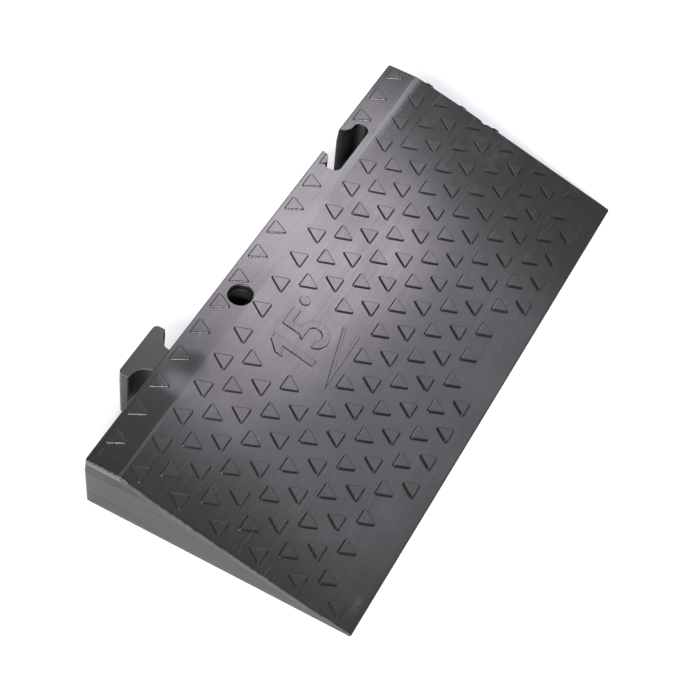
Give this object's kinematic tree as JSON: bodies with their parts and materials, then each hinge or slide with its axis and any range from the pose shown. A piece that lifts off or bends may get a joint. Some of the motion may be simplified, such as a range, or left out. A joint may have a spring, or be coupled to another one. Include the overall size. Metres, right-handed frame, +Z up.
{
  "type": "portable wheelchair ramp",
  "caption": "Low wedge ramp with a studded 15 degree slope, flat top strip, and a tongue and socket at the back that link it to a second ramp.",
  "frame": {"origin": "on the floor, under the middle of the whole object, its connector tongue counted", "axes": "+X along the 500 mm side, from the tongue's end to the socket's end; +Y from the thin toe to the high back wall; +Z up"},
  "size_m": [0.5, 0.253, 0.056],
  "materials": {
    "tread_plastic": "black satin moulded plastic, worn on the walking surface",
    "stud_plastic": "black satin moulded plastic, rubbed on the tops",
    "marking_plastic": "black satin moulded plastic",
    "wall_plastic": "black matt moulded plastic with a slight grey bloom",
    "underside_plastic": "black matt moulded plastic"
  },
  "bodies": {
    "root": {"angle_sign": "marking_plastic", "back_wall_long": "wall_plastic", "back_wall_short": "wall_plastic", "cross_rib_01": "underside_plastic", "cross_rib_02": "underside_plastic", "cross_rib_03": "underside_plastic", "cross_rib_04": "underside_plastic", "cross_rib_05": "underside_plastic", "cross_rib_06": "underside_plastic", "cross_rib_07": "underside_plastic", "cross_rib_08": "underside_plastic", "cross_rib_09": "underside_plastic", "cross_rib_10": "underside_plastic", "deck_studs": "stud_plastic", "fixing_boss": "underside_plastic", "front_rib": "underside_plastic", "left_end_wall": "wall_plastic", "middle_rib": "underside_plastic", "ridge_rib": "underside_plastic", "right_end_wall": "wall_plastic", "slope_figures": "marking_plastic", "slope_panel": "tread_plastic", "socket_wall": "wall_plastic", "toe_bar": "tread_plastic", "tongue_cap": "wall_plastic", "tongue_wall": "wall_plastic", "top_deck": "tread_plastic", "tread_studs_row_01": "stud_plastic", "tread_studs_row_02": "stud_plastic", "tread_studs_row_03": "stud_plastic", "tread_studs_row_04": "stud_plastic", "tread_studs_row_05": "stud_plastic", "tread_studs_row_06": "stud_plastic", "tread_studs_row_07": "stud_plastic", "tread_studs_row_08": "stud_plastic", "tread_studs_row_09": "stud_plastic", "tread_studs_row_10": "stud_plastic", "tread_studs_row_11": "stud_plastic"}
  },
  "joints": []
}
